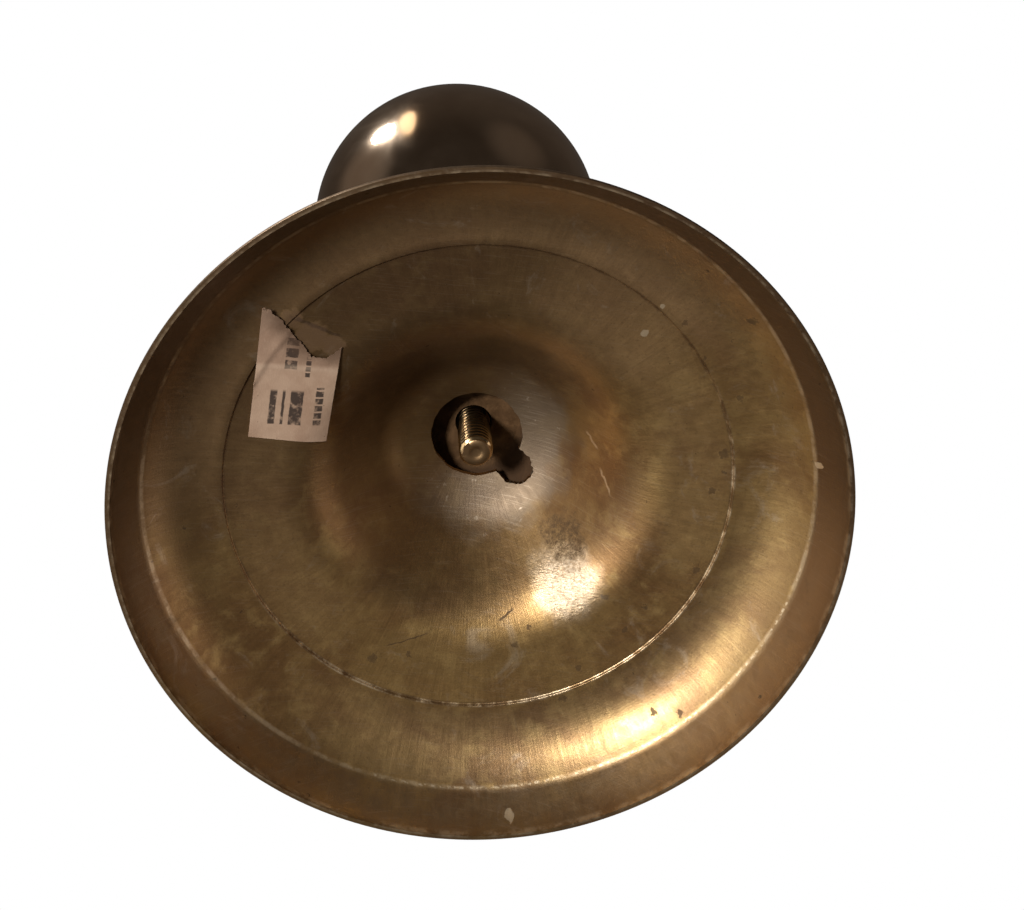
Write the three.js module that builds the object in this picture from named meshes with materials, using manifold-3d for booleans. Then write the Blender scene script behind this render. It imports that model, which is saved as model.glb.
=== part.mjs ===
// A brass handbell: a wide, shallow, stepped shell under a turned stem and a large ball grip.
// Every piece is turned about +Z. The mouth lies in the plane z = 0 and faces down. Millimetres.
// The stem's pieces are stacked on a tie rod, whose threaded end stands bare inside the shell.

import * as THREE from 'three';
import { mergeVertices } from 'three/addons/utils/BufferGeometryUtils.js';
import Module from 'manifold-3d';

const wasm = await Module();
wasm.setup();

// Driving dimensions.
const WALL = 1; // spun brass sheet
const GAP = 0.3; // between pieces that touch

const HOLE_RADIUS = 8.6;
const NOTCH = { radius: 3.4, offset: 10.2, angle: 42 };
const CUT = { low: 30, high: 45 }; // heights between which the crown is cut
const LIP = { flatIn: 66.05, flatOut: 66.9 };

// The shell's inner surface from its lip up to its crown, as (radius, height). A row of one place
// is a straight line to it, and a row of three is a curve's two pulls and its end.
const INSIDE_ROWS = {
  lip: [66, 0.4],
  skirt: [[65.6, 2.4], [63.6, 5.4], [61.5, 8.5]],
  outerStep: [60.9, 9],
  cove: [[57.7, 12.4], [53.4, 15.3], [47, 15.35]],
  innerStep: [46.6, 15.8],
  plate: [36.5, 16.9],
  funnelFoot: [[32.5, 17.3], [28.8, 19.3], [25, 23.7]],
  funnel: [18.2, 31.7],
  shoulder: [[16.4, 33.75], [14.6, 35.05], [12, 36]],
  crown: [7, 37.85],
};

const ROD = { radius: 3.175, low: 28.5, high: 126.5, chamferIn: 1.2, chamferUp: 1.3 };
const BORE_RADIUS = ROD.radius + GAP;

const BALL = { radius: 31.4, centre: 146.3, wall: 1.6, neck: 6.3 };
const COLLAR = { footIn: 14.4, footOut: 17.4, cupFloor: 8.5, cupHeight: 42.5, neck: 9.6, top: 51.5 };
const KNOP = { low: COLLAR.top + GAP, high: 61.8, fillet: 8.5, belly: 12.6 };
const COLUMN = { low: KNOP.high + GAP, high: 103.5, flange: 9, flangeHeight: 1.6, waist: 6.4 };
const CUP = { low: COLUMN.high + GAP, foot: 7.5, lip: 14.2, recess: 6.6, recessHeight: 111.5 };
const BOSS = { low: CUP.recessHeight + GAP, high: 128, radius: 6 };
const BOSS_FLANGE = { radius: 9.5, low: 118.5, high: 120.5 };

const LABEL = { thickness: 0.25, width: 20, length: 32, centre: [-33.5, -21.5] };
// Seen in plan: the whole end first, then the torn edge round to the tip.
const LABEL_OUTLINE = [
  [-41.7, -10.3], [-27.7, -7.7], [-24.4, -27.3], [-27.1, -25.2], [-29.8, -25.5],
  [-31.6, -28.3], [-34, -31.9], [-36.7, -35.7], [-38.1, -36.4],
];

const FINE = 64; // facets round the shell
const MIDDLE = 44; // facets round the ball
const PLAIN = 32; // facets round a small piece

const tarnished = new THREE.MeshStandardMaterial({ color: 0x8a6a3c, roughness: 0.45, metalness: 1 });
const polished = new THREE.MeshStandardMaterial({ color: 0xb08d57, roughness: 0.08, metalness: 1 });
const satin = new THREE.MeshStandardMaterial({ color: 0xa07c48, roughness: 0.25, metalness: 1 });
const paper = new THREE.MeshStandardMaterial({ color: 0x8a7462, roughness: 0.9, metalness: 0 });

// A solid turned about +Z from an outline of (radius, height) points, which run anticlockwise
// with the radius to the right.
function turned(outline, facets) {
  return new THREE.LatheGeometry(outline, facets).rotateX(Math.PI / 2);
}

function point(radius, height) {
  return new THREE.Vector2(radius, height);
}

// A ring's outline is closed by its own first point.
function closedRing(points) {
  return [...points, points[0].clone()];
}

// Joins the places of an outline by straight lines and curves, in rows like the shell's.
function along(rows, steps) {
  const path = new THREE.Path();
  path.moveTo(...rows[0]);
  for (const row of rows.slice(1)) {
    if (Array.isArray(row[0])) path.bezierCurveTo(...row.flat());
    else path.lineTo(...row);
  }
  return path.getPoints(steps);
}

function named(name, geometry, material) {
  const mesh = new THREE.Mesh(geometry, material);
  mesh.name = name;
  return mesh;
}

// The same line moved sideways by a distance, to its right as it runs, with mitred corners.
function movedSideways(line, distance) {
  const last = line.length - 2;
  const legs = line.slice(1).map((end, i) => end.clone().sub(line[i]).normalize());
  return line.map((here, i) => {
    const arriving = legs[Math.max(i - 1, 0)];
    const leaving = legs[Math.min(i, last)];
    const between = arriving.clone().add(leaving).normalize();
    const mitre = distance / between.dot(arriving);
    return point(here.x + between.y * mitre, here.y - between.x * mitre);
  });
}

function toSolid(geometry) {
  const bare = geometry.clone();
  bare.deleteAttribute('normal');
  bare.deleteAttribute('uv');
  const merged = mergeVertices(bare, 1e-4);
  return new wasm.Manifold(new wasm.Mesh({
    numProp: 3,
    vertProperties: new Float32Array(merged.attributes.position.array),
    triVerts: new Uint32Array(merged.index.array),
  }));
}

function toGeometry(solid) {
  const mesh = solid.getMesh();
  const geometry = new THREE.BufferGeometry();
  geometry.setAttribute('position', new THREE.BufferAttribute(new Float32Array(mesh.vertProperties), 3));
  geometry.setIndex(new THREE.BufferAttribute(new Uint32Array(mesh.triVerts), 1));
  return geometry;
}

function uprightCylinder(radius, low, high, facets) {
  const geometry = new THREE.CylinderGeometry(radius, radius, high - low, facets).rotateX(Math.PI / 2);
  return geometry.translate(0, 0, (low + high) / 2);
}

const INSIDE = along(Object.values(INSIDE_ROWS), 4);
const OUTSIDE = movedSideways(INSIDE, WALL);
const SEAT = movedSideways(INSIDE, WALL + GAP);

// Height at a radius of a line that rises towards the axis.
function heightOn(line, radius) {
  const i = line.findIndex((p) => p.x <= radius);
  const [low, high] = [line[i - 1], line[i]];
  return THREE.MathUtils.mapLinear(radius, low.x, high.x, low.y, high.y);
}

function bellShell() {
  const lip = [point(LIP.flatIn, 0), point(LIP.flatOut, 0)];
  const outline = closedRing([...lip, ...OUTSIDE, ...INSIDE.slice().reverse()]);
  const blank = toSolid(turned(outline, FINE));
  const hole = toSolid(uprightCylinder(HOLE_RADIUS, CUT.low, CUT.high, PLAIN));
  const angle = THREE.MathUtils.degToRad(NOTCH.angle);
  const notch = uprightCylinder(NOTCH.radius, CUT.low, CUT.high, PLAIN);
  notch.translate(NOTCH.offset * Math.cos(angle), NOTCH.offset * Math.sin(angle), 0);
  return named('bell_shell', toGeometry(blank.subtract(hole).subtract(toSolid(notch))), tarnished);
}

// Height at which stiff paper lies under the inner surface: it bridges the steps.
function paperHeight(radius) {
  const reach = 1.6;
  return Math.min(...[-reach, 0, reach].map((shift) => heightOn(INSIDE, radius + shift))) - GAP;
}

// A sheet of paper that follows the shell's inside, cut to its torn outline.
function priceLabel() {
  const sheet = new THREE.BoxGeometry(LABEL.width, LABEL.length, LABEL.thickness, 10, 16, 1);
  sheet.translate(LABEL.centre[0], LABEL.centre[1], -LABEL.thickness / 2);
  const place = sheet.attributes.position;
  for (let i = 0; i < place.count; i += 1) {
    const radius = Math.hypot(place.getX(i), place.getY(i));
    place.setZ(i, place.getZ(i) + paperHeight(radius));
  }
  const outline = new THREE.Shape(LABEL_OUTLINE.map(([x, y]) => new THREE.Vector2(x, y)));
  const cutter = new THREE.ExtrudeGeometry(outline, { depth: CUT.low, bevelEnabled: false });
  return named('price_label', toGeometry(toSolid(sheet).intersect(toSolid(cutter))), paper);
}

// The handle's foot: a bell-shaped collar, hollow underneath, whose rim rests on the shell's funnel.
function crownCollar() {
  const foot = [0, 1 / 3, 2 / 3, 1].map((share) => {
    const radius = THREE.MathUtils.lerp(COLLAR.footIn, COLLAR.footOut, share);
    return [radius, heightOn(SEAT, radius)];
  });
  const rows = [
    [BORE_RADIUS, COLLAR.cupHeight],
    [COLLAR.cupFloor, COLLAR.cupHeight],
    ...foot,
    [[19.6, 34.2], [19.6, 37.6], [COLLAR.footOut - 0.8, 38.2]],
    [[12.5, 39.2], [COLLAR.neck, 42.8], [COLLAR.neck, 48]],
    [COLLAR.neck + 1.2, 48.6],
    [COLLAR.neck + 1.2, COLLAR.top - 0.6],
    [COLLAR.neck + 0.6, COLLAR.top],
    [BORE_RADIUS, COLLAR.top],
  ];
  return named('crown_collar', turned(closedRing(along(rows, 5)), PLAIN), satin);
}

// A bead between two narrow fillets.
function stemKnop() {
  const middle = (KNOP.low + KNOP.high) / 2;
  const rows = [
    [BORE_RADIUS, KNOP.low],
    [KNOP.fillet, KNOP.low],
    [KNOP.fillet, KNOP.low + 1],
    [[11, KNOP.low + 1.2], [KNOP.belly, middle - 2], [KNOP.belly, middle]],
    [[KNOP.belly, middle + 2], [11, KNOP.high - 1.2], [KNOP.fillet, KNOP.high - 1]],
    [KNOP.fillet, KNOP.high],
    [BORE_RADIUS, KNOP.high],
  ];
  return named('stem_knop', turned(closedRing(along(rows, 4)), PLAIN), satin);
}

// A baluster between two flanges: a low belly that tapers to a long waist.
function stemColumn() {
  const footTop = COLUMN.low + COLUMN.flangeHeight;
  const headLow = COLUMN.high - COLUMN.flangeHeight;
  const rows = [
    [BORE_RADIUS, COLUMN.low],
    [COLUMN.flange, COLUMN.low],
    [COLUMN.flange, footTop],
    [COLUMN.waist + 0.6, footTop + 1],
    [[11.6, 67], [13.1, 76], [9.6, 83]],
    [[7.6, 88], [COLUMN.waist, 92], [COLUMN.waist, headLow - 1]],
    [COLUMN.flange, headLow],
    [COLUMN.flange, COLUMN.high],
    [BORE_RADIUS, COLUMN.high],
  ];
  return named('stem_column', turned(closedRing(along(rows, 6)), PLAIN), satin);
}

// Height of the ball's underside, with the gap, at a radius.
function seatHeight(radius) {
  return BALL.centre - Math.sqrt((BALL.radius + GAP) ** 2 - radius ** 2);
}

// A flared cup whose seat fits the ball, with a recess for the boss.
function ballCup() {
  const seat = [1, 0.8, 0.6, 0.4, 0.2, 0].map((share) => {
    const radius = THREE.MathUtils.lerp(CUP.recess, CUP.lip, share);
    return [radius, seatHeight(radius)];
  });
  const rows = [
    [BORE_RADIUS, CUP.low],
    [CUP.foot, CUP.low],
    [CUP.foot, CUP.low + 1.5],
    [[CUP.foot, 111], [11, 112.4], [CUP.lip, 115.4]],
    ...seat,
    [CUP.recess, CUP.recessHeight],
    [BORE_RADIUS, CUP.recessHeight],
  ];
  return named('ball_cup', turned(closedRing(along(rows, 5)), PLAIN), satin);
}

// Points on a circle about the ball's centre, from one angle above the horizontal to another.
function ballArc(radius, from, to, steps) {
  return Array.from({ length: steps + 1 }, (_, i) => {
    const angle = THREE.MathUtils.lerp(from, to, i / steps);
    return point(radius * Math.cos(angle), BALL.centre + radius * Math.sin(angle));
  });
}

// A hollow ball, open at its neck.
function ballGrip() {
  const inner = BALL.radius - BALL.wall;
  const top = Math.PI / 2;
  const outside = ballArc(BALL.radius, -Math.acos(BALL.neck / BALL.radius), top, 18);
  const inside = ballArc(inner, top, -Math.acos(BALL.neck / inner), 10);
  outside.at(-1).x = 0;
  inside[0].x = 0;
  return named('ball_grip', turned([...inside, ...outside], MIDDLE), polished);
}

// The nut inside the ball's neck, whose flange spreads the pull of the rod.
function ballBoss() {
  const outline = closedRing([
    point(BORE_RADIUS, BOSS.low),
    point(BOSS.radius, BOSS.low),
    point(BOSS.radius, BOSS_FLANGE.low),
    point(BOSS_FLANGE.radius, BOSS_FLANGE.low),
    point(BOSS_FLANGE.radius, BOSS_FLANGE.high),
    point(BOSS.radius, BOSS_FLANGE.high),
    point(BOSS.radius, BOSS.high),
    point(BORE_RADIUS, BOSS.high),
  ]);
  return named('ball_boss', turned(outline, PLAIN), satin);
}

// The rod that runs through the whole stack and ends in the bare stud.
function tieRod() {
  const tip = ROD.radius - ROD.chamferIn;
  const outline = [
    point(0, ROD.low),
    point(tip, ROD.low),
    point(ROD.radius, ROD.low + ROD.chamferUp),
    point(ROD.radius, ROD.high - ROD.chamferUp),
    point(tip, ROD.high),
    point(0, ROD.high),
  ];
  return named('tie_rod', turned(outline, PLAIN), satin);
}

const shell = new THREE.Group();
shell.add(bellShell(), priceLabel());

const handle = new THREE.Group();
handle.add(tieRod(), stemKnop(), stemColumn(), ballCup(), ballGrip(), ballBoss());

const handbell = new THREE.Group();
handbell.add(shell, crownCollar(), handle);

export default handbell;
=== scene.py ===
"""A brass handbell seen from under its mouth: fine turned surfaces, tarnish, scratches and a torn label.

The frame is the CAD model's: +Z runs up the bell's axis and the mouth lies at z = 0. Blender's lengths
are metres. Outlines and marks are given in millimetres, as in the CAD model, and scaled as they are made.
"""

import math

import bmesh
import bpy
from mathutils import Matrix, Vector, geometry, noise


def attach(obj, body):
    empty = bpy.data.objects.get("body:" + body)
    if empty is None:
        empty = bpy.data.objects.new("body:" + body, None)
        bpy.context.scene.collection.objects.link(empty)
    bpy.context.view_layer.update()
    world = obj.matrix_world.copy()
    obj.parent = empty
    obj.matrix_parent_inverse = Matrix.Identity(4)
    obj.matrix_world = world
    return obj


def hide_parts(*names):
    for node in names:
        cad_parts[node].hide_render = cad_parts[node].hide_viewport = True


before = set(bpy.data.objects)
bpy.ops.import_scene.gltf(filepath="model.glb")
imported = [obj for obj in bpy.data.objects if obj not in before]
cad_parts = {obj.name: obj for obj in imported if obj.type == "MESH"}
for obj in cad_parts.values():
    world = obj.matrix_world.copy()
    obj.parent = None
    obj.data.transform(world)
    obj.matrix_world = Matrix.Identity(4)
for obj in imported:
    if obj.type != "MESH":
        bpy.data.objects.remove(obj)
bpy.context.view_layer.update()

MM = 0.001
GAP = 0.3  # millimetres between neighbouring pieces, so that none overlap

# ---------------------------------------------------------------- camera, floor and light


def link(piece):
    bpy.context.scene.collection.objects.link(piece)
    return piece


CAMERA_PLACE = (-0.01757, -0.24052, -0.47769)
CAMERA_FORWARD = (0.04323, 0.42958, 0.90199)
CAMERA_RIGHT = (0.99885, 0.0, -0.04787)
FILM_WIDTH = 36  # millimetres, as the focal length
FOCAL_LENGTH = 105.5


def make_camera():
    """Stands under the mouth, on the side of -Y, and looks up into the shell."""
    data = bpy.data.cameras.new("camera")
    data.sensor_width = FILM_WIDTH
    data.lens = FOCAL_LENGTH
    data.clip_start = 0.01
    camera = link(bpy.data.objects.new("camera", data))
    forward = Vector(CAMERA_FORWARD).normalized()
    right = Vector(CAMERA_RIGHT).normalized()
    turn = Matrix((right, right.cross(forward), -forward)).transposed()
    camera.matrix_world = Matrix.Translation(CAMERA_PLACE) @ turn.to_4x4()
    bpy.context.scene.camera = camera


SHELL_MIDDLE = (0, 0, 0.03)
BALL_MIDDLE = (0, 0, 0.146)
WHITE = (1, 1, 1)
WARM = (1.0, 0.97, 0.92)
WARMER = (1.0, 0.9, 0.85)
AMBER = (1.0, 0.82, 0.6)


def area_light(name, direction, distance, size, power, colour=WHITE, aim=SHELL_MIDDLE):
    """An oval soft light that stands in a direction from the point that it shines at."""
    data = bpy.data.lights.new(name, "AREA")
    data.shape = "ELLIPSE"
    data.size, data.size_y = size
    data.energy = power
    data.color = colour
    light = link(bpy.data.objects.new(name, data))
    aim = Vector(aim)
    light.location = aim + Vector(direction).normalized() * distance
    light.rotation_euler = (aim - light.location).to_track_quat("-Z", "Y").to_euler()


def make_lights():
    """One key and two fills from below for the shell's inside, and lamps above that the ball mirrors."""
    area_light("key_below", (-0.50, -0.45, -0.74), 0.9, (0.15, 0.15), 12.0, WARM)
    area_light("side_below", (-0.80, 0.02, -0.60), 1.0, (0.8, 0.8), 2.5, WARM)
    area_light("fill_below", (0.94, 0.15, -0.30), 1.0, (0.7, 0.5), 1.6, WARMER)
    area_light("key_above", (-0.567, -0.578, 0.585), 1.1, (0.2, 0.2), 9.0, aim=BALL_MIDDLE)
    area_light("lamp_above", (-0.395, -0.735, 0.55), 1.12, (0.17, 0.55), 0.6, AMBER, BALL_MIDDLE)
    area_light("back_above", (0.45, 0.75, 0.50), 1.4, (0.9, 0.9), 7.0, aim=BALL_MIDDLE)


class Tree:
    """A material or world's node tree, built by short calls that return sockets."""

    def __init__(self, owner):
        owner.use_nodes = True
        self.nodes, self.links = owner.node_tree.nodes, owner.node_tree.links
        self.nodes.clear()

    def node(self, kind, *values, output=0, **settings):
        """Makes a node. Values go to its inputs by number or name, and a socket is linked."""
        made = self.nodes.new(kind)
        for name, setting in settings.items():
            setattr(made, name, setting)
        for where, value in values:
            if isinstance(value, bpy.types.NodeSocket):
                self.links.new(value, made.inputs[where])
            else:
                made.inputs[where].default_value = value
        return made.outputs[output]

    def math(self, operation, first, second=0.0):
        return self.node("ShaderNodeMath", (0, first), (1, second), operation=operation)

    def place(self):
        """The object's own coordinates in millimetres."""
        return self.vector("SCALE", self.node("ShaderNodeTexCoord", output="Object"), scale=1 / MM)

    def vector(self, operation, first, second=(0, 0, 0), scale=1.0, output=0):
        values = ((0, first), (1, second), (3, scale))
        return self.node("ShaderNodeVectorMath", *values, operation=operation, output=output)

    def split(self, vector, axis):
        return self.node("ShaderNodeSeparateXYZ", (0, vector), output=axis)

    def length(self, vector):
        return self.vector("LENGTH", vector, output=1)

    def noise(self, place, scale, detail=3.0, roughness=0.55, distortion=0.0, output=0):
        values = (("Vector", place), ("Scale", scale), ("Detail", detail))
        values += (("Roughness", roughness), ("Distortion", distortion))
        return self.node("ShaderNodeTexNoise", *values, output=output)

    def warped(self, place, scale, amount):
        """Places pushed about by noise, so that what is drawn with them has ragged edges."""
        colours = self.noise(place, scale, 2.0, output="Color")
        centred = self.vector("SUBTRACT", colours, (0.5, 0.5, 0.5))
        return self.vector("ADD", place, self.vector("SCALE", centred, scale=amount))

    def specks(self, place, scale, size, share):
        """Sparse round specks of a size against the cells of a grid, in a share of its cells."""
        cells = self.nodes.new("ShaderNodeTexVoronoi")
        self.links.new(place, cells.inputs["Vector"])
        cells.inputs["Scale"].default_value = scale
        chosen = self.math("LESS_THAN", self.split(cells.outputs["Color"], 0), share)
        return self.math("MULTIPLY", chosen, self.step(cells.outputs["Distance"], size, size * 0.45))

    def spot(self, place, x, y, size, soft=0.4):
        """A round spot round a line parallel to the axis."""
        offset = self.vector("MULTIPLY", self.vector("SUBTRACT", place, (x, y, 0)), (1, 1, 0))
        return self.step(self.length(offset), size, size * (1 - soft))

    def any(self, *masks):
        """1 where any of the masks is."""
        together = masks[0]
        for mask in masks[1:]:
            together = self.math("MAXIMUM", together, mask)
        return together

    def all(self, *masks):
        """1 where all the masks are; a number among them weakens the mask."""
        together = masks[0]
        for mask in masks[1:]:
            together = self.math("MULTIPLY", together, mask)
        return together

    def step(self, value, low, high):
        """0 below low, 1 above high and smooth between; low may be the greater."""
        values = ((0, value), (1, low), (2, high), (3, 0.0), (4, 1.0))
        return self.node("ShaderNodeMapRange", *values, interpolation_type="SMOOTHSTEP")

    def mix(self, share, first, second):
        """The first colour, with a share of the second."""
        made = self.nodes.new("ShaderNodeMix")
        made.data_type = "RGBA"
        for where, value in ((0, share), (6, first), (7, second)):
            if isinstance(value, bpy.types.NodeSocket):
                self.links.new(value, made.inputs[where])
            else:
                made.inputs[where].default_value = value if where == 0 else (*value, 1)
        return made.outputs[2]

    def bump(self, height, depth):
        """A normal tilted by fine relief, whose depth is in metres."""
        return self.node("ShaderNodeBump", ("Height", height), ("Distance", depth), ("Strength", 1.0))

    def principled(self, **inputs):
        shader = self.nodes.new("ShaderNodeBsdfPrincipled")
        for name, value in inputs.items():
            socket = shader.inputs[name.replace("_", " ")]
            if isinstance(value, bpy.types.NodeSocket):
                self.links.new(value, socket)
            else:
                socket.default_value = value
        return shader.outputs[0]

    def finish(self, surface, kind="ShaderNodeOutputMaterial"):
        """Gives the tree its output."""
        self.links.new(surface, self.nodes.new(kind).inputs["Surface"])


FLOOR_WIDTH = 8
FLOOR_HEIGHT = -0.0002
FLOOR_COLOUR = (0.86, 0.86, 0.85, 1)
FLOOR_GLOW = 0.3  # keeps its far parts, which the lamps don't reach, pale too


def make_floor():
    """A pale floor that is seen only from above, so a camera under the mouth looks past it."""
    bpy.ops.mesh.primitive_plane_add(size=FLOOR_WIDTH, location=(0, 0, FLOOR_HEIGHT))
    floor = bpy.context.object
    floor.name = "floor"
    material = bpy.data.materials.new("floor_paint")
    tree = Tree(material)
    paint = tree.principled(
        Base_Color=FLOOR_COLOUR,
        Roughness=0.9,
        Emission_Color=FLOOR_COLOUR,
        Emission_Strength=FLOOR_GLOW,
    )
    clear = tree.node("ShaderNodeBsdfTransparent")
    under = tree.node("ShaderNodeNewGeometry", output="Backfacing")
    tree.finish(tree.node("ShaderNodeMixShader", (0, under), (1, paint), (2, clear)))
    floor.data.materials.append(material)
    floor.visible_shadow = False
    floor.visible_glossy = False
    floor.visible_diffuse = False


ROOM_COLOUR = (1.0, 0.84, 0.72, 1)
ROOM_BRIGHTNESS = 0.03
ROOM_GLOWS = (  # direction, half width in degrees and brightness
    ((0, 0, -1), 63, 0.085),
    ((0, 0, 1), 84, 0.03),
    ((-0.85, -0.40, 0.30), 30, 0.12),
    ((0.63, -0.74, 0.22), 26, 0.045),
)


def make_world():
    """White behind the object. What the metal reflects is a dim warm room with soft lighter parts."""
    world = bpy.data.worlds.new("studio")
    bpy.context.scene.world = world
    bpy.context.scene.view_settings.view_transform = "Standard"
    tree = Tree(world)
    direction = tree.node("ShaderNodeTexCoord", output="Generated")
    strength = ROOM_BRIGHTNESS
    for middle, half_width, brightness in ROOM_GLOWS:
        closeness = tree.vector("DOT_PRODUCT", direction, Vector(middle).normalized(), output=1)
        glow = tree.step(closeness, math.cos(math.radians(half_width)), 1.0)
        strength = tree.math("ADD", strength, tree.math("MULTIPLY", glow, brightness))
    white = tree.node("ShaderNodeBackground", ("Color", (1, 1, 1, 1)), ("Strength", 1.0))
    room = tree.node("ShaderNodeBackground", ("Color", ROOM_COLOUR), ("Strength", strength))
    seen = tree.node("ShaderNodeLightPath", output="Is Camera Ray")
    mixed = tree.node("ShaderNodeMixShader", (0, seen), (1, room), (2, white))
    tree.finish(mixed, "ShaderNodeOutputWorld")


# ---------------------------------------------------------------- outlines and turned meshes


CURVE_STEPS = 16


def bezier(start, pull, push, end):
    """Points of a cubic curve after its start."""
    points = []
    for i in range(1, CURVE_STEPS + 1):
        t = i / CURVE_STEPS
        u = 1 - t
        points.append(tuple(
            u ** 3 * a + 3 * u * u * t * b + 3 * u * t * t * c + t ** 3 * d
            for a, b, c, d in zip(start, pull, push, end)
        ))
    return points


def outline(start, *moves):
    """Joins points: a move of one point is a straight line, and one of three is a curve."""
    points = [start]
    for move in moves:
        if len(move) == 3:
            points += bezier(points[-1], *move)
        else:
            points.append(move)
    return points


def mesh_object(name, vertices, faces):
    mesh = bpy.data.meshes.new(name)
    mesh.from_pydata(vertices, [], faces)
    mesh.update()
    return link(bpy.data.objects.new(name, mesh))


def turned(name, points, facets=128, closed=True):
    """A mesh turned about +Z from an anticlockwise outline, which closes or ends on the axis."""
    vertices, faces, rings = [], [], []
    for radius, height in points:
        if radius < 1e-6:
            rings.append([len(vertices)])
            vertices.append((0, 0, height * MM))
            continue
        rings.append(range(len(vertices), len(vertices) + facets))
        for i in range(facets):
            angle = math.tau * i / facets
            vertices.append((radius * MM * math.cos(angle), radius * MM * math.sin(angle), height * MM))
    above = rings[1:] + rings[:1] if closed else rings[1:]
    for low, high in zip(rings, above):
        for i in range(facets):
            j = (i + 1) % facets
            corners = [low[i % len(low)], low[j % len(low)], high[j % len(high)], high[i % len(high)]]
            faces.append(list(dict.fromkeys(corners)))
    return mesh_object(name, vertices, faces)


def smooth(piece, degrees=35):
    """Smooth shading, with sharp edges where faces meet at more than an angle."""
    tool = bmesh.new()
    tool.from_mesh(piece.data)
    for face in tool.faces:
        face.smooth = True
    for edge in tool.edges:
        edge.smooth = edge.calc_face_angle(0) < math.radians(degrees)
    tool.to_mesh(piece.data)
    tool.free()


def apply_modifier(piece):
    graph = bpy.context.evaluated_depsgraph_get()
    mesh = bpy.data.meshes.new_from_object(piece.evaluated_get(graph))
    piece.modifiers.clear()
    piece.data = mesh


def cut(piece, cutter):
    """Takes the cutter's solid out of the piece."""
    change = piece.modifiers.new("cut", "BOOLEAN")
    change.object = cutter
    change.operation = "DIFFERENCE"
    change.solver = "EXACT"
    apply_modifier(piece)
    bpy.data.objects.remove(cutter)


def finished(piece, material, body, slot, *nodes, other=None, takes_other=None):
    """Gives a piece its material, and another to the faces that take it, and its place in the model."""
    piece.data.materials.clear()
    piece.data.materials.append(material)
    if other:
        piece.data.materials.append(other)
        for face in piece.data.polygons:
            face.material_index = int(takes_other(face))
    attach(piece, body)
    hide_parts(*nodes)


# ---------------------------------------------------------------- shell

WALL = 1.0
RIM = 66.0  # radii of the lip, of the ridge between skirt and cove, and of the inner step
RIDGE = 61.0
STEP = 46.8
HOLE_CENTRE = (0.4, 0.2)
HOLE_RADIUS = 8.6
NOTCH_RADIUS = 3.4
NOTCH_OFFSET = 10.2
NOTCH_ANGLE = math.radians(42)

SHELL_INSIDE = outline(
    (RIM, 0.4),
    ((65.6, 2.4), (63.6, 5.4), (61.5, 8.5)),
    (60.9, 9.0),
    ((57.7, 12.4), (53.4, 15.3), (46.95, 15.35)),
    ((STEP, 15.36), (46.75, 15.78), (46.5, 15.81)),
    (36.5, 16.9),
    ((32.5, 17.3), (28.8, 19.3), (25.0, 23.7)),
    (18.2, 31.7),
    ((16.4, 33.75), (14.6, 35.05), (12.0, 36.0)),
    (7.0, 37.85),
)


def moved_sideways(points, distance):
    """The line moved to its right, with mitred corners, less the points that fold back outwards."""
    moved = []
    for i, here in enumerate(points):
        here = Vector(here)
        arriving = (here - Vector(points[max(i - 1, 0)])).normalized()
        leaving = (Vector(points[min(i + 1, len(points) - 1)]) - here).normalized()
        arriving = arriving if i > 0 else leaving
        along = (arriving + leaving).normalized()
        mitre = distance / along.dot(arriving)
        corner = (here.x + along.y * mitre, here.y - along.x * mitre)
        if not moved or corner[0] < moved[-1][0]:
            moved.append(corner)
    return moved


def inside_height(radius):
    """Height of the shell's inner surface at a radius."""
    for low, high in zip(SHELL_INSIDE, SHELL_INSIDE[1:]):
        if high[0] <= radius <= low[0]:
            return low[1] + (high[1] - low[1]) * (low[0] - radius) / max(low[0] - high[0], 1e-9)
    return SHELL_INSIDE[-1][1]


def ragged_cutter(name, centre, radius, raggedness, seed):
    """An upright prism through the crown, round but for small nibbles."""
    corners = 90
    below_crown, above_crown = 30, 45
    vertices = []
    for height in (below_crown, above_crown):
        for i in range(corners):
            angle = math.tau * i / corners
            around = Vector((math.cos(angle), math.sin(angle), 0))
            wobble = noise.noise(around * 2.2 + Vector((seed, 0, 0)))
            nibble = noise.noise(around * 7.0 + Vector((0, seed, 0)))
            reach = radius + raggedness * (wobble + 0.6 * nibble)
            x = centre[0] + around.x * reach
            y = centre[1] + around.y * reach
            vertices.append((x * MM, y * MM, height * MM))
    sides = [(i, (i + 1) % corners, corners + (i + 1) % corners, corners + i) for i in range(corners)]
    caps = [tuple(range(corners))[::-1], tuple(range(corners, 2 * corners))]
    return mesh_object(name, vertices, sides + caps)


def make_shell():
    """Tarnished inside and satin outside, with a flat lip, a hole and a notch."""
    outside = moved_sideways(SHELL_INSIDE, WALL)
    lip = [(66.05, 0), (66.9, 0)]
    shell = turned("bell_shell_fine", lip + outside + SHELL_INSIDE[::-1], facets=256)
    cut(shell, ragged_cutter("hole", HOLE_CENTRE, HOLE_RADIUS, 0.25, 3.1))
    notch = (NOTCH_OFFSET * math.cos(NOTCH_ANGLE), NOTCH_OFFSET * math.sin(NOTCH_ANGLE))
    cut(shell, ragged_cutter("notch", notch, NOTCH_RADIUS, 0.45, 8.7))
    smooth(shell)

    def is_outside(face):
        radius = face.center.xy.length / MM
        return radius < RIM and face.center.z / MM > inside_height(radius) + WALL / 2

    tarnished = tarnished_brass()
    satin = satin_brass("shell_satin")
    finished(shell, tarnished, "shell", "shell_brass", "bell_shell", other=satin, takes_other=is_outside)


# ---------------------------------------------------------------- stem, rod and ball

BORE = 3.475
BALL_RADIUS = 31.4
BALL_CENTRE = 146.3
BALL_NECK = 6.3
BALL_WALL = 1.6


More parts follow.
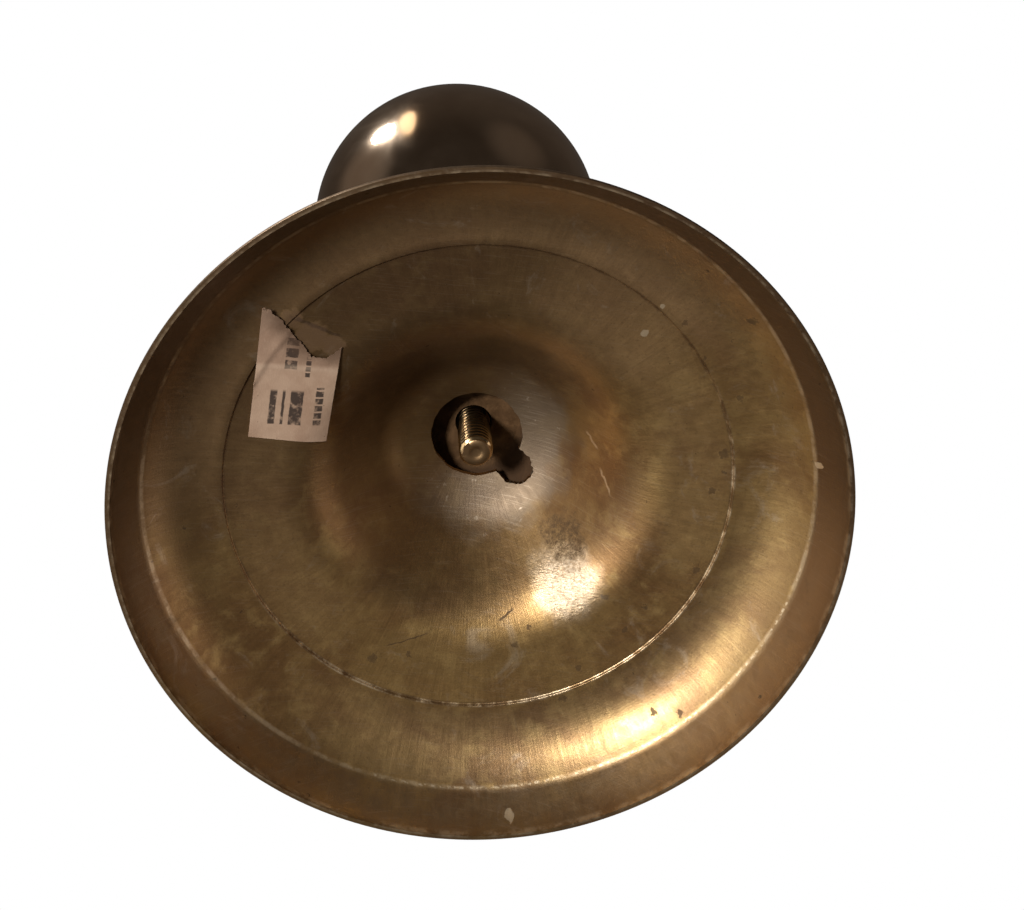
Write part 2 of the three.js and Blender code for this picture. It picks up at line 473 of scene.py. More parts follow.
def crown_height(radius):
    """Height of the shell's outer surface at a radius."""
    line = moved_sideways(SHELL_INSIDE, WALL)
    for low, high in zip(line, line[1:]):
        if high[0] <= radius <= low[0]:
            return low[1] + (high[1] - low[1]) * (low[0] - radius) / (low[0] - high[0])


def seat_height(radius):
    """Height of the ball's underside, with the gap, at a radius."""
    return BALL_CENTRE - math.sqrt((BALL_RADIUS + GAP) ** 2 - radius ** 2)


FOOT_TOP = 43.0  # the collar's hollow lies below this height and within this radius
FOOT_RADIUS = 14.5
COLLAR = outline(
    (BORE, 42.5),
    (8.5, 42.5),
    *[(radius, crown_height(radius) + GAP) for radius in (14.4, 15.4, 16.4, 17.4)],
    ((19.6, 34.2), (19.6, 37.6), (16.6, 38.2)),
    ((12.5, 39.2), (9.6, 42.8), (9.6, 48.0)),
    (10.8, 48.6),
    (10.8, 50.9),
    (10.2, 51.5),
    (BORE, 51.5),
)
KNOP = outline(
    (BORE, 51.8),
    (8.5, 51.8),
    (8.5, 52.8),
    ((11.0, 53.0), (12.6, 54.8), (12.6, 56.8)),
    ((12.6, 58.8), (11.0, 60.6), (8.5, 60.8)),
    (8.5, 61.8),
    (BORE, 61.8),
)
COLUMN = outline(
    (BORE, 62.1),
    (9.0, 62.1),
    (9.0, 63.7),
    (7.0, 64.7),
    ((11.6, 67.0), (13.1, 76.0), (9.6, 83.0)),
    ((7.6, 88.0), (6.4, 92.0), (6.4, 100.9)),
    (9.0, 101.9),
    (9.0, 103.5),
    (BORE, 103.5),
)
SEAT_RADII = [14.2 - 7.6 * i / 12 for i in range(13)]
CUP = outline(
    (BORE, 103.8),
    (7.5, 103.8),
    (7.5, 105.3),
    ((7.5, 111.0), (11.0, 112.4), (14.2, 115.4)),
    *[(radius, seat_height(radius)) for radius in SEAT_RADII],
    (6.6, 111.5),
    (BORE, 111.5),
)
BOSS = [
    (BORE, 111.8), (6.0, 111.8), (6.0, 118.5), (9.5, 118.5),
    (9.5, 120.5), (6.0, 120.5), (6.0, 128.0), (BORE, 128.0),
]


def make_stem():
    """The turned pieces between crown and ball, satin but for the dull hollow of the foot."""
    pieces = (
        ("crown_collar", COLLAR, "collar", "stem_brass"),
        ("stem_knop", KNOP, "handle", "stem_brass"),
        ("stem_column", COLUMN, "handle", "stem_brass"),
        ("ball_cup", CUP, "handle", "stem_brass"),
        ("ball_boss", BOSS, "handle", "rod_brass"),
    )
    brass = satin_brass("stem_satin")
    dull = dull_brass()

    def is_in_foot(face):
        under = face.normal.z < -0.2 and face.center.z < FOOT_TOP * MM
        return under and face.center.xy.length < FOOT_RADIUS * MM

    for node, points, body, slot in pieces:
        piece = turned(node + "_fine", points)
        smooth(piece)
        finished(piece, brass, body, slot, node, other=dull, takes_other=is_in_foot)


def make_ball():
    """A hollow ball, open at its neck."""
    inner = BALL_RADIUS - BALL_WALL
    points = []
    for radius, steps, inward in ((inner, 40, True), (BALL_RADIUS, 72, False)):
        start = -math.acos(BALL_NECK / radius)
        angles = [start + (math.pi / 2 - start) * i / steps for i in range(steps + 1)]
        arc = [(radius * math.cos(a), BALL_CENTRE + radius * math.sin(a)) for a in angles]
        arc[-1] = (0, BALL_CENTRE + radius)
        points += arc[::-1] if inward else arc
    ball = turned("ball_grip_fine", points, facets=160, closed=False)
    smooth(ball)
    finished(ball, mirror_brass(), "handle", "ball_brass", "ball_grip")


ROD_RADIUS = 3.175
ROD_LOW = 28.5
ROD_HIGH = 126.5
PITCH = 1.27  # twenty threads to the inch
THREADED = 16.0  # threaded length at each end
THREAD_DEPTH = 0.62 * PITCH
CREST = 0.12  # share of a pitch that a thread's flat top takes
TIP_RADIUS = 2.5
TIP_RINGS = ((0.7, 0.22), (1.0, 0.16), (1.3, 0.02), (1.6, 0.0))  # radius and depth of the end's dimple


def rod_radius(height, turn):
    """The rod's radius at a height and a share of a turn: vee threads, then chamfers at the ends."""
    from_end = min(height - ROD_LOW, ROD_HIGH - height)
    share = (height / PITCH - turn) % 1
    groove = max(abs(share - 0.5) * 2 - CREST, 0) / (1 - CREST)
    deep = THREAD_DEPTH * min(max((THREADED - from_end) / PITCH, 0), 1)
    return min(ROD_RADIUS - deep * groove, TIP_RADIUS + from_end)


def make_rod():
    """A grid of rows up the rod and facets round it, closed by a fan at each end."""
    facets, rows_per_pitch = 48, 10
    turns = [i / facets for i in range(facets)]
    rows = [[(radius, ROD_LOW + depth)] * facets for radius, depth in TIP_RINGS]
    height = ROD_LOW
    while height < ROD_HIGH:
        rows.append([(rod_radius(height, turn), height) for turn in turns])
        threaded = min(height - ROD_LOW, ROD_HIGH - height) < THREADED
        height += PITCH / rows_per_pitch if threaded else PITCH
    rows.append([(rod_radius(ROD_HIGH, turn), ROD_HIGH) for turn in turns])

    vertices = [(0, 0, (ROD_LOW + TIP_RINGS[0][1]) * MM)]
    for row in rows:
        for turn, (radius, level) in zip(turns, row):
            angle = math.tau * turn
            vertices.append((radius * MM * math.cos(angle), radius * MM * math.sin(angle), level * MM))
    vertices.append((0, 0, ROD_HIGH * MM))
    faces = []
    for i in range(facets):
        j = (i + 1) % facets
        faces.append((0, 1 + j, 1 + i))
        for row in range(len(rows) - 1):
            low, high = 1 + row * facets, 1 + (row + 1) * facets
            faces.append((low + i, low + j, high + j, high + i))
        top = 1 + (len(rows) - 1) * facets
        faces.append((top + i, top + j, len(vertices) - 1))
    rod = mesh_object("tie_rod_threaded", vertices, faces)
    smooth(rod, 50)
    finished(rod, thread_brass(), "handle", "rod_brass", "tie_rod")


# ---------------------------------------------------------------- label

LABEL_OUTLINE = [
    (-41.7, -10.3), (-27.7, -7.7), (-24.4, -27.3), (-27.1, -25.2), (-29.8, -25.5),
    (-31.6, -28.3), (-34.0, -31.9), (-36.7, -35.7), (-38.1, -36.4),
]
TORN_FROM = 2  # the outline's edges from this one on are torn, but not the last
PAPER = 0.15  # thickness
STIFF = 1.6  # the paper bridges steps as wide as this on either side
MESH_STEP = 0.7
EDGE_STEP = 0.35
CURL_FROM = 31.0  # distance from the axis towards -Y at which the paper starts to curl away


def paper_height(radius):
    """Height at which stiff paper lies under the inner surface: it bridges the steps."""
    shifts = (-STIFF, -STIFF / 2, 0, STIFF / 2, STIFF)
    return min(inside_height(radius + shift) for shift in shifts) - GAP


def torn_edges():
    """The label's outline with short steps, ragged along its torn edges."""
    points = []
    corners = LABEL_OUTLINE
    for i, (start, end) in enumerate(zip(corners, corners[1:] + corners[:1])):
        start, end = Vector(start), Vector(end)
        across = Vector((start.y - end.y, end.x - start.x)).normalized()
        steps = max(int((end - start).length / EDGE_STEP), 1)
        torn = TORN_FROM <= i < len(corners) - 1
        for k in range(steps):
            here = start.lerp(end, k / steps)
            wobble = noise.noise(Vector((here.x * 1.9, here.y * 1.9, 0.3))) * 0.5 if torn else 0
            points.append(here + across * wobble)
    return points


def draped_sheet():
    """The label without its thickness, draped under the shell's steps, creased and curled."""
    edge = torn_edges()
    grid = [Vector((x * MESH_STEP, y * MESH_STEP)) for x in range(-62, -33) for y in range(-54, -6)]
    count = len(edge)
    loop = [(i, (i + 1) % count) for i in range(count)]
    points, _, faces, *_ = geometry.delaunay_2d_cdt(edge + grid, loop, [], 1, 1e-5)
    vertices = []
    for point in points:
        curl = 0.5 * max(0.0, (-point.y - CURL_FROM) / 5.5) ** 2
        crease = 0.12 * noise.noise(Vector((point.x * 0.35, point.y * 0.35, 5.0)))
        height = paper_height(point.length) - curl - abs(crease)
        vertices.append((point.x * MM, point.y * MM, height * MM))
    return mesh_object("price_label_paper", vertices, faces)


def face_down(sheet):
    """Drops the points outside the sheet's outline and turns its faces to the mouth."""
    tool = bmesh.new()
    tool.from_mesh(sheet.data)
    loose = [point for point in tool.verts if not point.link_faces]
    bmesh.ops.delete(tool, geom=loose, context="VERTS")
    tool.normal_update()
    if sum(face.normal.z for face in tool.faces) > 0:
        bmesh.ops.reverse_faces(tool, faces=tool.faces)
    tool.to_mesh(sheet.data)
    tool.free()


def make_label():
    label = draped_sheet()
    face_down(label)
    thicken = label.modifiers.new("paper", "SOLIDIFY")
    thicken.thickness = PAPER * MM
    thicken.offset = -1
    apply_modifier(label)
    smooth(label, 60)
    finished(label, old_paper(), "shell", "label_paper", "price_label")


# ---------------------------------------------------------------- materials

BROWN = (0.190, 0.105, 0.042)  # the tarnished brass's colours, some laid as painted shade and painted highlights
OLIVE = (0.275, 0.172, 0.066)
YELLOW = (0.370, 0.245, 0.098)
UMBER = (0.110, 0.064, 0.034)
PURPLE = (0.150, 0.099, 0.060)
GREY = (0.150, 0.118, 0.088)
PALE = (0.48, 0.40, 0.31)
SOOT_AND_SHADE = (0.042, 0.024, 0.012)
RUBBED_AND_GLINT = (0.58, 0.46, 0.31)
PAINTED_GLINT = (0.56, 0.50, 0.41)
GLUE = (0.055, 0.031, 0.018)
TAN = (0.42, 0.265, 0.135)

DARK_SPOTS = (  # x, y and radius, millimetres
    (45.1, -4.8, 1.2), (43.2, 2.8, 0.9), (37.0, -31.1, 0.8), (47.3, -16.3, 0.9), (44.9, -0.9, 0.5),
    (-20.3, 36.5, 1.1), (-13.3, 36.1, 0.7), (41.0, -24.0, 0.5), (48.5, -33.0, 1.1), (31.0, 27.0, 0.6),
    (40.6, 19.1, 0.7), (23.6, 25.1, 0.8), (27.4, 31.7, 0.7), (18.6, 39.5, 0.8), (15.7, 45.5, 0.9),
    (32.6, 47.2, 0.7), (37.6, 46.4, 0.7), (9.2, 31.5, 0.6), (6.7, 34.8, 0.8),
)
CHIPS = ((61.2, -5.7, 0.7), (30.0, -29.0, 0.8), (33.0, -34.5, 0.5), (5.0, 64.2, 0.9))
GLUE_SPOTS = ((-29.8, -29.6, 3.6), (-33.2, -33.2, 2.4), (-26.0, -27.6, 2.6))  # bared where the label tore
STAIN = (16.4, 16.8, 5.2)
PALE_PATCH = (24.0, -33.0, 19.0)
GLINT = (16.5, 23.8, 8.5)  # a patch polished by fingers, and painted whiter where the key lamp's highlight falls
DARK_MARKS = (  # start, end and half width, millimetres
    ((3.6, 30.7), (6.8, 28.2), 0.28), ((-18.4, 34.4), (-8.6, 31.8), 0.22),
    ((-34.5, -34.3), (-23.2, -28.6), 0.55),
)
LIGHT_MARKS = (((20.4, -4.4), (22.6, -1.0), 0.3), ((22.8, 2.0), (25.0, 7.0), 0.25))


def ring_mask(tree, radius, at, width):
    """A soft line round the axis."""
    away = tree.math("ABSOLUTE", tree.math("SUBTRACT", radius, at))
    return tree.step(away, width, width * 0.25)


def towards(tree, around, degrees):
    """The cosine of the angle about the axis from a direction."""
    turn = math.radians(degrees)
    return tree.vector("DOT_PRODUCT", around, (math.cos(turn), math.sin(turn), 0), output=1)


def strip(tree, place, start, end, width):
    """A straight mark with tapered ends, seen in plan."""
    along = Vector(end) - Vector(start)
    length = along.length
    along.normalize()
    offset = tree.vector("SUBTRACT", place, (*start, 0))
    down = tree.vector("DOT_PRODUCT", offset, (*along, 0), output=1)
    across = tree.vector("DOT_PRODUCT", offset, (-along.y, along.x, 0), output=1)
    ends = tree.all(tree.step(down, 0, length * 0.2), tree.step(down, length, length * 0.8))
    return tree.all(ends, tree.step(tree.math("ABSOLUTE", across), width, width * 0.3))


def scratches(tree, place, degrees, wide, low):
    """Straight hairline scratches that run in one direction, seen in plan."""
    turn = math.radians(degrees)
    down = tree.vector("DOT_PRODUCT", place, (math.cos(turn), math.sin(turn), 0), output=1)
    across = tree.vector("DOT_PRODUCT", place, (-math.sin(turn), math.cos(turn), 0), output=1)
    place = tree.node(
        "ShaderNodeCombineXYZ",
        (0, tree.math("MULTIPLY", down, 0.16)), (1, tree.math("MULTIPLY", across, wide)), (2, degrees),
    )
    return tree.step(tree.noise(place, 1.0, 2, 0.6), low, low + 0.06)


class Inside:
    """Places and masks on the shell's inside, which its tarnish, painted shade and painted highlights
    share.
    """

    def __init__(self, tree):
        self.place = tree.place()
        flat = tree.vector("MULTIPLY", self.place, (1, 1, 0))
        self.radius = tree.length(flat)
        self.around = tree.vector("NORMALIZE", flat)
        self.ragged = tree.warped(self.place, 0.9, 2.2)
        self.wandering = tree.vector("MULTIPLY", tree.warped(self.place, 0.16, 9.0), (1, 1, 0))
        self.key_side = towards(tree, self.around, 65)

        self.cloud = tree.noise(self.place, 0.2, 5, 0.62, 0.4)
        self.patchy = tree.step(tree.noise(self.place, 0.3, 4, 0.65), 0.4, 0.62)
        self.ripples = tree.noise(tree.vector("MULTIPLY", self.place, (0.8, 2.4, 1)), 1.2, 4, 0.75)
        polar = tree.vector("SCALE", self.around, scale=55)
        polar = tree.vector("ADD", polar, tree.vector("SCALE", self.place, scale=0.07))
        self.radial = tree.noise(polar, 1.0, 4, 0.7)

        self.skirt = tree.step(self.radius, RIDGE - 0.1, RIDGE + 0.6)
        self.cove = tree.all(
            tree.step(self.radius, STEP - 0.2, 49),
            tree.step(self.radius, RIDGE, RIDGE - 1),
        )
        below = tree.step(towards(tree, self.around, 30), -0.6, 0.7)
        self.grey_zone = tree.all(tree.step(tree.length(self.wandering), 20.0, 15.0), below)
        near_stain = tree.spot(tree.warped(self.place, 0.5, 5.0), *STAIN, 0.5)
        self.stain = tree.all(near_stain, tree.step(tree.noise(self.place, 0.9, 6, 0.85), 0.3, 0.62))
        self.glue = tree.any(*[tree.spot(self.ragged, *spot) for spot in GLUE_SPOTS])
        # the polished patch, which also takes the painted highlight
        self.polish = tree.spot(tree.warped(self.place, 0.3, 5.0), *GLINT, 0.8)
        self.glint = tree.all(self.polish, tree.math("SUBTRACT", 1.0, self.stain))


def blotches_and_shade(tree, inside):
    """Tarnish brown to yellow in clouds, and umber painted shade away from the highlights and down the
    funnel.
    """
    broad = tree.noise(inside.place, 0.045, 4, 0.62, 0.6)
    colour = tree.mix(tree.step(broad, 0.34, 0.64), BROWN, OLIVE)
    colour = tree.mix(tree.all(tree.step(inside.cloud, 0.46, 0.72), 0.7), colour, YELLOW)
    # painted shade: umber over the side away from the key lamp's highlights
    dark_side = tree.step(tree.vector("DOT_PRODUCT", inside.wandering, (-0.5, -0.87, 0), output=1), -4, 34)
    colour = tree.mix(tree.all(dark_side, 0.7), colour, UMBER)
    # painted shade: umber on the funnel's wall that faces away from the key lamp
    facing_away = tree.step(towards(tree, inside.around, -125), -0.75, 0.2)
    funnel_shade = tree.all(tree.step(inside.radius, 31, 25), facing_away)
    colour = tree.mix(tree.all(funnel_shade, 0.5), colour, UMBER)
    # painted shade: umber over the funnel on the key lamp's side, outside the polished patch
    lit_funnel = tree.all(tree.step(inside.radius, 34, 28), tree.step(inside.key_side, 0.1, 0.6))
    unpolished = tree.math("SUBTRACT", 1.0, inside.polish)
    return tree.mix(tree.all(lit_funnel, unpolished, 0.5), colour, UMBER)


def thinned_and_lit(tree, inside, colour):
    """Paler on parts of the cove, as painted light and a painted highlight, on parts of the plate and in
    scuffs.
    """
    # painted light: paler on the cove's side away from the key lamp
    away = tree.step(towards(tree, inside.around, -105), 0.05, 0.5)
    colour = tree.mix(tree.all(inside.cove, away, 0.3), colour, TAN)
    beside = tree.step(tree.math("ABSOLUTE", towards(tree, inside.around, -10)), 0.7, 0.9)
    plate = ring_mask(tree, inside.radius, 40, 9)
    colour = tree.mix(tree.all(plate, beside, 0.2), colour, TAN)
    # painted highlight: a little paler on the cove where the key lamp's highlight falls
    colour = tree.mix(tree.all(inside.cove, tree.step(inside.key_side, 0.3, 0.9), 0.07), colour, PALE)
    patch = tree.spot(tree.warped(inside.place, 0.08, 16.0), *PALE_PATCH, 0.6)
    colour = tree.mix(tree.all(patch, 0.35), colour, TAN)
    scuffs = tree.step(tree.noise(inside.place, 0.09, 5, 0.7, 1.2), 0.56, 0.72)
    colour = tree.mix(tree.all(scuffs, tree.step(inside.radius, 24, 34), 0.3), colour, PALE)
    fine = tree.noise(inside.place, 1.8, 4, 0.65)
    return tree.mix(tree.all(tree.step(fine, 0.5, 0.78), 0.4), colour, UMBER)


def skirted(tree, inside, colour):
    """The skirt outside the ridge: purple-brown, with umber painted shade on one side and tan painted light
    on another.
    """
    purple = tree.math("ADD", 0.25, tree.all(tree.step(inside.cloud, 0.3, 0.7), 0.5))
    colour = tree.mix(tree.all(inside.skirt, purple), colour, PURPLE)
    # painted shade: umber on the skirt's side towards -25 degrees
    shaded = tree.step(towards(tree, inside.around, -25), 0.3, 0.85)
    colour = tree.mix(tree.all(inside.skirt, shaded, 0.85), colour, UMBER)
    # painted light: tan on the skirt's side that the key lamp lights
    lit = tree.step(towards(tree, inside.around, 35), 0.75, 0.95)
    return tree.mix(tree.all(inside.skirt, lit, 0.3), colour, TAN)


def greyed(tree, inside, colour):
    """Worn grey round the hole, with pale specks there and hairline scratches everywhere."""
    colour = tree.mix(tree.all(inside.grey_zone, 0.75), colour, GREY)
    brushed = scratches(tree, inside.place, 8, 4, 0.58)
    crossed = tree.any(
        scratches(tree, inside.place, 62, 3, 0.66),
        scratches(tree, inside.place, 128, 3, 0.67),
    )
    lines = tree.any(brushed, tree.all(crossed, 0.4))
    strength = tree.math("ADD", 0.06, tree.all(inside.grey_zone, 0.12))
    colour = tree.mix(tree.all(lines, strength), colour, PALE)
    specks = tree.specks(inside.ragged, 0.7, 0.3, 0.14)
    return tree.mix(tree.all(inside.grey_zone, specks, 0.4), colour, PALE)


def soot_and_shade_mask(tree, inside):
    """Where it is dark: dirt in spots, specks, clouds, marks and the stain, and painted shade along the
    inner step.
    """
    spots = tree.any(*[tree.spot(inside.ragged, *spot) for spot in DARK_SPOTS])
    specks = tree.any(
        tree.specks(inside.ragged, 0.2, 0.09, 0.3),
        tree.specks(inside.ragged, 0.55, 0.12, 0.1),
    )
    cloudy = tree.step(tree.noise(inside.place, 0.11, 4, 0.7), 0.6, 0.74)
    # painted shade: dark along the inner step on the side away from the key lamp
    unlit = tree.step(inside.key_side, 0.2, -0.3)
    step_shade = tree.all(ring_mask(tree, inside.radius, STEP + 0.2, 0.7), unlit, inside.patchy, 0.4)
    marks = tree.any(*[strip(tree, tree.warped(inside.place, 0.7, 0.8), *mark) for mark in DARK_MARKS])
    return tree.any(tree.all(spots, 0.85), specks, tree.all(cloudy, 0.35), step_shade, marks, inside.stain)


def rubbed_and_highlit(tree, inside, colour):
    """Rubbed bright on the ridge and the lip, in chips and scratches; painted highlights on the ridge and
    the inner step.
    """
    beads = tree.step(tree.noise(inside.place, 0.8, 3, 0.6), 0.47, 0.6)
    faint = tree.math("ADD", 0.12, tree.all(inside.patchy, 0.4))
    ridge = tree.all(ring_mask(tree, inside.radius, RIDGE, 0.5), faint)
    # painted highlights: bright beads on the ridge and a bright inner step, on the side the key lamp lights
    lit = tree.step(inside.key_side, 0.3, 0.8)
    ridge_highlight = tree.all(ring_mask(tree, inside.radius, RIDGE, 0.28), beads, lit)
    half_lit = tree.step(inside.key_side, -0.1, 0.5)
    step_highlight = tree.all(ring_mask(tree, inside.radius, STEP, 0.5), inside.patchy, half_lit)
    lip = tree.all(ring_mask(tree, inside.radius, RIM + 0.1, 0.5), inside.patchy, 0.5)
    chips = [tree.spot(tree.warped(inside.place, 0.8, 1.0), *chip, 0.2) for chip in CHIPS]
    light_marks = [strip(tree, tree.warped(inside.place, 0.7, 0.8), *mark) for mark in LIGHT_MARKS]
    scratched = tree.all(tree.any(*light_marks), 0.5)
    # real wear and painted highlights together
    worn = tree.any(ridge, ridge_highlight, step_highlight, lip, *chips, scratched)
    colour = tree.mix(tree.all(worn, 0.85), colour, RUBBED_AND_GLINT)
    unworn = tree.math("SUBTRACT", 1.0, inside.patchy)
    worn_less = tree.all(ring_mask(tree, inside.radius, STEP - 0.1, 0.6), unworn, 0.7)
    return tree.mix(worn_less, colour, UMBER)


def painted_glint(tree, inside, colour):
    """Painted highlight on the patch polished by fingers: whitened where the glint falls, and broken by
    brown ripples.
    """
    colour = tree.mix(tree.all(inside.glint, 0.55), colour, PAINTED_GLINT)
    broken = tree.step(inside.ripples, 0.48, 0.6)
    return tree.mix(tree.all(inside.glint, broken, 0.6), colour, BROWN)


def tarnish_roughness(tree, inside, soot_and_shade):
    rough = tree.math("ADD", 0.30, tree.all(tree.noise(inside.place, 0.5, 4, 0.6), 0.20))
    rough = tree.math("ADD", rough, tree.all(tree.math("SUBTRACT", inside.radial, 0.5), 0.16))
    rough = tree.math("ADD", rough, tree.all(tree.any(inside.grey_zone, soot_and_shade), 0.14))
    return tree.math("SUBTRACT", rough, tree.all(inside.glint, 0.07))


def tarnish_relief(tree, inside):
    """Fine relief: brushed outwards, spun round the axis, pitted, and rippled where it is polished."""
    rings = tree.node("ShaderNodeCombineXYZ", (0, tree.math("MULTIPLY", inside.radius, 2.2)))
    rings = tree.vector("ADD", rings, tree.vector("SCALE", inside.around, scale=1.2))
    spun = tree.noise(rings, 1.0, 5, 0.7)
    relief = tree.math("ADD", tree.all(inside.radial, 0.7), tree.all(spun, 0.35))
    relief = tree.math("ADD", relief, tree.all(tree.noise(inside.place, 2.5, 4, 0.7), 0.5))
    relief = tree.math("ADD", relief, tree.all(inside.ripples, inside.glint, 3.5))
    return tree.bump(relief, 0.05 * MM)


def tarnished_brass():
    """Dull brown brass: blotched, scratched, stained round the hole and rubbed bright on its ridges, with
    painted shade and highlights.
    """
    material = bpy.data.materials.new("tarnished_brass")
    tree = Tree(material)
    inside = Inside(tree)
    colour = thinned_and_lit(tree, inside, blotches_and_shade(tree, inside))
    colour = greyed(tree, inside, skirted(tree, inside, colour))
    soot_and_shade = soot_and_shade_mask(tree, inside)
    colour = tree.mix(tree.all(soot_and_shade, 0.85), colour, SOOT_AND_SHADE)
    colour = tree.mix(tree.all(inside.glue, 0.7), colour, GLUE)
    colour = painted_glint(tree, inside, rubbed_and_highlit(tree, inside, colour))
    unmetal = tree.all(tree.any(inside.glue, tree.all(soot_and_shade, 0.3)), 0.6)
    shader = tree.principled(
        Base_Color=colour,
        Metallic=tree.math("SUBTRACT", 0.86, unmetal),
        Roughness=tarnish_roughness(tree, inside, soot_and_shade),
        Normal=tarnish_relief(tree, inside),
        Specular_IOR_Level=0.3,
    )
    tree.finish(shader)
    return material


def dull_brass():
    """Brass that was never polished, inside the handle's foot, with painted shade in the hollow's outer
    part.
    """
    dark, darker, hollow_shade = (0.095, 0.052, 0.024), (0.050, 0.026, 0.011), (0.034, 0.018, 0.009)
    material = bpy.data.materials.new("dull_brass")
    tree = Tree(material)
    place = tree.place()
    cloud = tree.noise(place, 0.35, 5, 0.65, 0.5)
    colour = tree.mix(tree.step(cloud, 0.35, 0.7), darker, dark)
    colour = tree.mix(tree.all(tree.specks(place, 0.9, 0.2, 0.2), 0.7), colour, SOOT_AND_SHADE)
    radius = tree.length(tree.vector("MULTIPLY", place, (1, 1, 0)))
    # painted shade: darkest in the hollow's outer part, seen through the notch
    colour = tree.mix(tree.all(tree.step(radius, 8.3, 10.0), 0.85), colour, hollow_shade)
    normal = tree.bump(tree.noise(place, 2.0, 4, 0.7), 0.04 * MM)
    shader = tree.principled(
        Base_Color=colour, Metallic=0.15, Roughness=0.8, Normal=normal, Specular_IOR_Level=0.1
    )
    tree.finish(shader)
    return material


def satin_brass(name):
    """Turned brass, polished once and handled since, with fine rings from the lathe."""
    golden, duller, smudged, speckled = (
        (0.60, 0.415, 0.20), (0.44, 0.285, 0.125), (0.27, 0.165, 0.075), (0.14, 0.09, 0.05)
    )
    material = bpy.data.materials.new(name)
    tree = Tree(material)
    place = tree.place()
    height = tree.node("ShaderNodeCombineXYZ", (0, 0.0), (1, 0.0), (2, tree.split(place, 2)))
    lathe = tree.noise(tree.vector("ADD", height, tree.vector("SCALE", place, scale=0.03)), 3.5, 4, 0.7)
    broad = tree.noise(place, 0.07, 4, 0.62, 0.5)
    smudge = tree.noise(place, 0.3, 4, 0.6, 0.4)
    colour = tree.mix(tree.step(broad, 0.35, 0.68), duller, golden)
    colour = tree.mix(tree.all(tree.step(smudge, 0.52, 0.75), 0.55), colour, smudged)
    colour = tree.mix(tree.all(tree.specks(place, 0.5, 0.12, 0.15), 0.7), colour, speckled)
    rough = tree.math("ADD", 0.17, tree.all(smudge, 0.22))
    normal = tree.bump(lathe, 0.01 * MM)
    shader = tree.principled(Base_Color=colour, Metallic=1.0, Roughness=rough, Normal=normal)
    tree.finish(shader)
    return material


def mirror_brass():
    """Polished brass gone brown: a hazy mirror with finger smudges and a few specks."""
    light, brown, speckled = (0.67, 0.51, 0.365), (0.56, 0.41, 0.285), (0.2, 0.14, 0.09)
    material = bpy.data.materials.new("mirror_brass")
    tree = Tree(material)
    place = tree.place()
    broad = tree.noise(place, 0.06, 4, 0.6, 0.4)
    smudge = tree.noise(place, 0.1, 3, 0.5, 0.6)
    colour = tree.mix(tree.step(broad, 0.3, 0.7), brown, light)
    colour = tree.mix(tree.all(tree.specks(place, 0.35, 0.07, 0.2), 0.6), colour, speckled)
    rough = tree.math("ADD", 0.12, tree.all(tree.step(smudge, 0.35, 0.8), 0.08))
    shader = tree.principled(Base_Color=colour, Metallic=1.0, Roughness=rough)
    tree.finish(shader)
    return material


PRINT = (  # bars in the label's own directions: from, to, from, to and length of a dash, millimetres
    (2.8, 10.6, 3.0, 4.4, 9), (2.8, 10.6, 5.2, 5.9, 9), (2.8, 10.6, 6.7, 9.2, 9),
    (2.8, 10.8, 11.2, 12.8, 1.5), (14.0, 20.4, 5.0, 7.4, 2.4), (12.6, 17.6, 8.8, 9.9, 1.2),
)
FOLD = 14.4  # height of the label's fold, in its own directions
INK = (0.016, 0.011, 0.010)
PAPER_LIGHT = (0.30, 0.21, 0.15)
PAPER_BROWN = (0.225, 0.145, 0.10)
PAPER_SHADED = (0.17, 0.105, 0.072)
PAPER_FIBRE = (0.36, 0.27, 0.20)
PAPER_SPECK = (0.10, 0.06, 0.04)


def print_mask(tree, along, across):
    """The label's bars, cut into dashes."""
    bars = []
    for low, high, left, right, dash in PRINT:
        ends = tree.all(tree.step(along, low, low + 0.2), tree.step(along, high, high - 0.2))
        sides = tree.all(tree.step(across, left, left + 0.2), tree.step(across, right, right - 0.2))
        phase = tree.math("FRACT", tree.math("DIVIDE", tree.math("SUBTRACT", along, low), dash))
        bars.append(tree.all(ends, sides, tree.step(phase, 0.8, 0.72)))
    return tree.any(*bars)


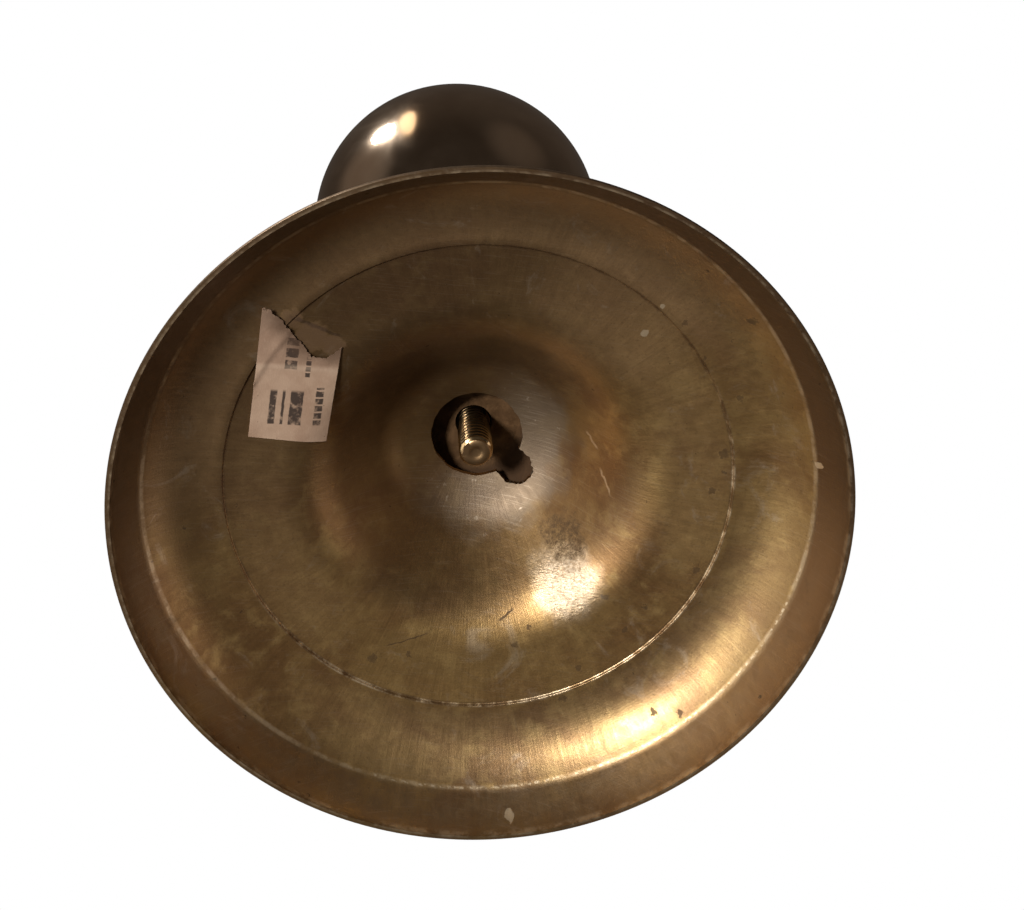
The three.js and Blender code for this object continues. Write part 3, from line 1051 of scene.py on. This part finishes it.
def old_paper():
    """Browned paper with a fold across it, worn print and a stained tear."""
    material = bpy.data.materials.new("old_paper")
    tree = Tree(material)
    place = tree.place()
    corner, side = Vector(LABEL_OUTLINE[0]), Vector(LABEL_OUTLINE[-1])
    up = (side - corner).normalized()
    offset = tree.vector("SUBTRACT", tree.warped(place, 0.8, 0.25), (*corner, 0))
    along = tree.vector("DOT_PRODUCT", offset, (*up, 0), output=1)
    across = tree.vector("DOT_PRODUCT", offset, (-up.y, up.x, 0), output=1)

    broad = tree.noise(place, 0.12, 4, 0.6)
    fibres = tree.noise(tree.vector("MULTIPLY", place, (1, 0.4, 1)), 3.0, 4, 0.7)
    colour = tree.mix(tree.step(broad, 0.3, 0.7), PAPER_BROWN, PAPER_LIGHT)
    # painted shade: darker above the fold, where the paper bends
    above_fold = tree.step(along, FOLD - 0.4, FOLD + 1.1)
    colour = tree.mix(tree.all(above_fold, 0.55), colour, PAPER_SHADED)
    colour = tree.mix(tree.all(tree.step(fibres, 0.5, 0.8), 0.3), colour, PAPER_FIBRE)
    worn = tree.step(tree.noise(place, 0.6, 3, 0.6), 0.72, 0.5)
    colour = tree.mix(tree.all(print_mask(tree, along, across), worn, 0.9), colour, INK)
    fold = tree.step(tree.math("ABSOLUTE", tree.math("SUBTRACT", along, FOLD)), 0.9, 0.0)
    colour = tree.mix(tree.all(fold, 0.3), colour, PAPER_FIBRE)
    ragged = tree.warped(place, 0.7, 1.6)
    tear = tree.any(*[tree.spot(ragged, x, y, size + 3, 0.7) for x, y, size in GLUE_SPOTS])
    colour = tree.mix(tree.all(tear, 0.75), colour, GLUE)
    colour = tree.mix(tree.all(tree.specks(place, 0.6, 0.1, 0.3), 0.6), colour, PAPER_SPECK)
    normal = tree.bump(tree.math("ADD", fibres, fold), 0.04 * MM)
    shader = tree.principled(Base_Color=colour, Roughness=0.85, Normal=normal, Specular_IOR_Level=0.15)
    tree.finish(shader)
    return material


def thread_brass():
    """Bright machined brass, duller on its end, with dirt and painted shade in the roots and painted shade
    up the hole.
    """
    bright, warm, worn_end = (0.66, 0.48, 0.27), (0.50, 0.35, 0.18), (0.42, 0.27, 0.14)
    material = bpy.data.materials.new("thread_brass")
    tree = Tree(material)
    place = tree.place()
    radius = tree.length(tree.vector("MULTIPLY", place, (1, 1, 0)))
    height = tree.split(place, 2)
    cloud = tree.noise(place, 0.7, 4, 0.6)
    end = tree.step(height, ROD_LOW + 0.4, ROD_LOW + 0.2)
    # dirt and painted shade in the thread's roots
    root_dirt_and_shade = tree.all(tree.step(radius, 3.15, 2.95), tree.step(height, ROD_LOW + 1.0, ROD_LOW + 1.6))
    # painted shade deep in the hole
    deep = tree.all(tree.step(height, ROD_LOW + 3, ROD_LOW + 8), 0.85)
    colour = tree.mix(tree.step(cloud, 0.35, 0.7), warm, bright)
    colour = tree.mix(end, colour, worn_end)
    colour = tree.mix(tree.any(tree.all(root_dirt_and_shade, 0.9), deep), colour, SOOT_AND_SHADE)
    rough = tree.math("ADD", tree.math("ADD", 0.10, tree.all(cloud, 0.12)), tree.all(end, 0.18))
    normal = tree.bump(tree.noise(place, 4.0, 3, 0.6), 0.008 * MM)
    shader = tree.principled(Base_Color=colour, Metallic=1.0, Roughness=rough, Normal=normal)
    tree.finish(shader)
    return material


make_camera()
make_world()
make_lights()
make_floor()
make_shell()
make_stem()
make_rod()
make_ball()
make_label()
